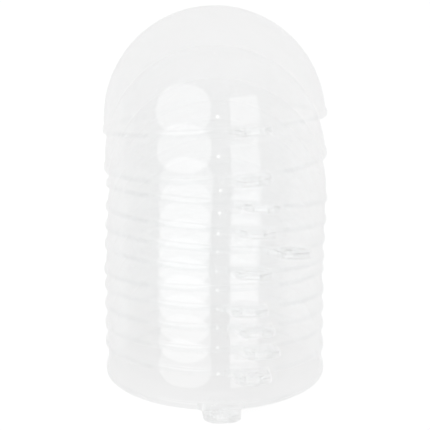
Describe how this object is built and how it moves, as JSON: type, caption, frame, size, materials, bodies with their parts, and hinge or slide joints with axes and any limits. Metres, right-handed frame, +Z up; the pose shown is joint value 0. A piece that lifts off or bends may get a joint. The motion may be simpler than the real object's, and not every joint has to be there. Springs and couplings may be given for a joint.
{
  "type": "queen cage",
  "caption": "Stack of thin clear hemispherical dome cages nested over each other, each with a rim bead and a flat hanging ear.",
  "frame": {"origin": "middle of the whole stack's footprint, on the ground under the bottom dome's rim", "axes": "+Z up along the stack, from the open mouth of the bottom dome to the crown of the top one; -Y is the front, the side the ears point to; +X is to the right of the front"},
  "size_m": [0.072, 0.0874, 0.1165],
  "materials": {
    "clear_plastic": "clear gloss"
  },
  "bodies": {
    "dome_01": {"dome_01": "clear_plastic"},
    "dome_02": {"dome_02": "clear_plastic"},
    "dome_03": {"dome_03": "clear_plastic"},
    "dome_04": {"dome_04": "clear_plastic"},
    "dome_05": {"dome_05": "clear_plastic"},
    "dome_06": {"dome_06": "clear_plastic"},
    "dome_07": {"dome_07": "clear_plastic"},
    "dome_08": {"dome_08": "clear_plastic"},
    "dome_09": {"dome_09": "clear_plastic"},
    "dome_10": {"dome_10": "clear_plastic"},
    "dome_11": {"dome_11": "clear_plastic"},
    "dome_12": {"dome_12": "clear_plastic"}
  },
  "joints": [
    {"name": "lift_02", "type": "slide", "parent": "dome_01", "child": "dome_02", "axis": [0.0157, 0.0628, 0.9979], "range_m": [0, 0.0313]},
    {"name": "lift_03", "type": "slide", "parent": "dome_02", "child": "dome_03", "axis": [0.007, 0.0837, 0.9965], "range_m": [0, 0.0331]},
    {"name": "lift_04", "type": "slide", "parent": "dome_03", "child": "dome_04", "axis": [0.0157, 0.0976, 0.9951], "range_m": [0, 0.0335]},
    {"name": "lift_05", "type": "slide", "parent": "dome_04", "child": "dome_05", "axis": [0.0227, 0.1011, 0.9946], "range_m": [0, 0.0336]},
    {"name": "lift_06", "type": "slide", "parent": "dome_05", "child": "dome_06", "axis": [-0.0052, 0.0906, 0.9959], "range_m": [0, 0.0335]},
    {"name": "lift_07", "type": "slide", "parent": "dome_06", "child": "dome_07", "axis": [0.0593, 0.0819, 0.9949], "range_m": [0, 0.0335]},
    {"name": "lift_08", "type": "slide", "parent": "dome_07", "child": "dome_08", "axis": [0.0663, 0.0802, 0.9946], "range_m": [0, 0.0335]},
    {"name": "lift_09", "type": "slide", "parent": "dome_08", "child": "dome_09", "axis": [0.0628, 0.0785, 0.9949], "range_m": [0, 0.0334]},
    {"name": "lift_10", "type": "slide", "parent": "dome_09", "child": "dome_10", "axis": [0.0698, 0.0906, 0.9934], "range_m": [0, 0.0325]},
    {"name": "lift_11", "type": "slide", "parent": "dome_10", "child": "dome_11", "axis": [-0.0698, -0.0175, 0.9974], "range_m": [0, 0.029]},
    {"name": "lift_12", "type": "slide", "parent": "dome_11", "child": "dome_12", "axis": [-0.0802, 0.0297, 0.9963], "range_m": [0, 0.0274]}
  ]
}
